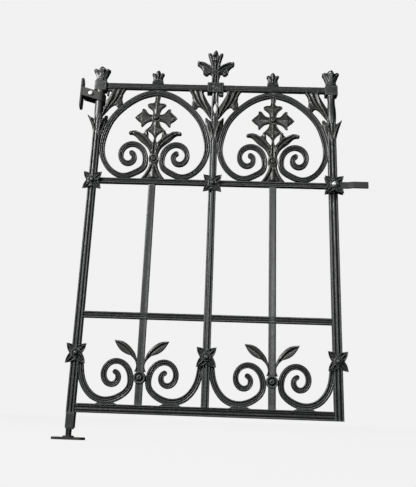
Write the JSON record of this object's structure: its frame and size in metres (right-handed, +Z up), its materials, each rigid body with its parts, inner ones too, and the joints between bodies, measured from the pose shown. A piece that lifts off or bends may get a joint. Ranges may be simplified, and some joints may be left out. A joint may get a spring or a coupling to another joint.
{
  "type": "garden gate",
  "caption": "Ornate cast-iron pedestrian gate with scrolled arch and base panels, finials, a strap-and-pivot hinge and a fall-bar latch.",
  "frame": {"origin": "on the hinge axis, at the underside of the foot plate", "axes": "+Z up along the hinge axis, +X from the hinge stile to the latch stile, -Y towards the moulded front"},
  "size_m": [1.0045, 0.0711, 1.371],
  "materials": {
    "black_cast_iron": "satin black paint over sand-cast iron",
    "black_steel": "thin satin black paint",
    "bracket_iron": "satin black paint",
    "zinc_fasteners": "bright zinc plate"
  },
  "bodies": {
    "post_fittings": {"wall_bracket": "bracket_iron", "hinge_strap": "black_steel", "strap_bolt": "zinc_fasteners", "strap_nut": "zinc_fasteners", "foot_plate": "bracket_iron"},
    "gate_leaf": {"bottom_rail": "black_cast_iron", "centre_finial": "black_cast_iron", "centre_lower_rosette": "black_cast_iron", "centre_sprigs": "black_cast_iron", "centre_stile": "black_cast_iron", "centre_stile_sheath": "black_cast_iron", "centre_upper_rosette": "black_cast_iron", "collar": "black_cast_iron", "collar_screw": "black_cast_iron", "hinge_corner_finial": "black_cast_iron", "hinge_corner_sprig": "black_cast_iron", "hinge_lower_rosette": "black_cast_iron", "hinge_stile": "black_cast_iron", "hinge_stile_sheath": "black_cast_iron", "hinge_upper_rosette": "black_cast_iron", "latch_bolt": "zinc_fasteners", "latch_corner_finial": "black_cast_iron", "latch_corner_sprig": "black_cast_iron", "latch_cover_rosette": "black_cast_iron", "latch_lower_rosette": "black_cast_iron", "latch_nut": "zinc_fasteners", "latch_stile": "black_cast_iron", "latch_stile_sheath": "black_cast_iron", "latch_upper_rosette": "black_cast_iron", "left_bar": "black_cast_iron", "left_cross": "black_cast_iron", "left_crown_finial": "black_cast_iron", "left_inner_arch_scroll": "black_cast_iron", "left_inner_base_scroll": "black_cast_iron", "left_leaf_pair": "black_cast_iron", "left_leaf_spray": "black_cast_iron", "left_lower_hub": "black_cast_iron", "left_outer_arch_scroll": "black_cast_iron", "left_outer_base_scroll": "black_cast_iron", "left_upper_hub": "black_cast_iron", "lock_rail": "black_cast_iron", "lower_rail": "black_cast_iron", "pivot_pin": "black_steel", "pivot_shoe": "black_cast_iron", "right_bar": "black_cast_iron", "right_cross": "black_cast_iron", "right_crown_finial": "black_cast_iron", "right_inner_arch_scroll": "black_cast_iron", "right_inner_base_scroll": "black_cast_iron", "right_leaf_pair": "black_cast_iron", "right_leaf_spray": "black_cast_iron", "right_lower_hub": "black_cast_iron", "right_outer_arch_scroll": "black_cast_iron", "right_outer_base_scroll": "black_cast_iron", "right_upper_hub": "black_cast_iron", "top_rail": "black_cast_iron"},
    "latch": {"latch_bar": "black_steel"}
  },
  "joints": [
    {"name": "leaf_swing", "type": "hinge", "parent": "post_fittings", "child": "gate_leaf", "pos_m": [0, 0, 0], "axis": [0, 0, 1], "range_deg": [-90, 90]},
    {"name": "latch_lift", "type": "hinge", "parent": "gate_leaf", "child": "latch", "pos_m": [0.822, -0.023, 0.843], "axis": [0, -1, 0], "range_deg": [0, 75]}
  ]
}
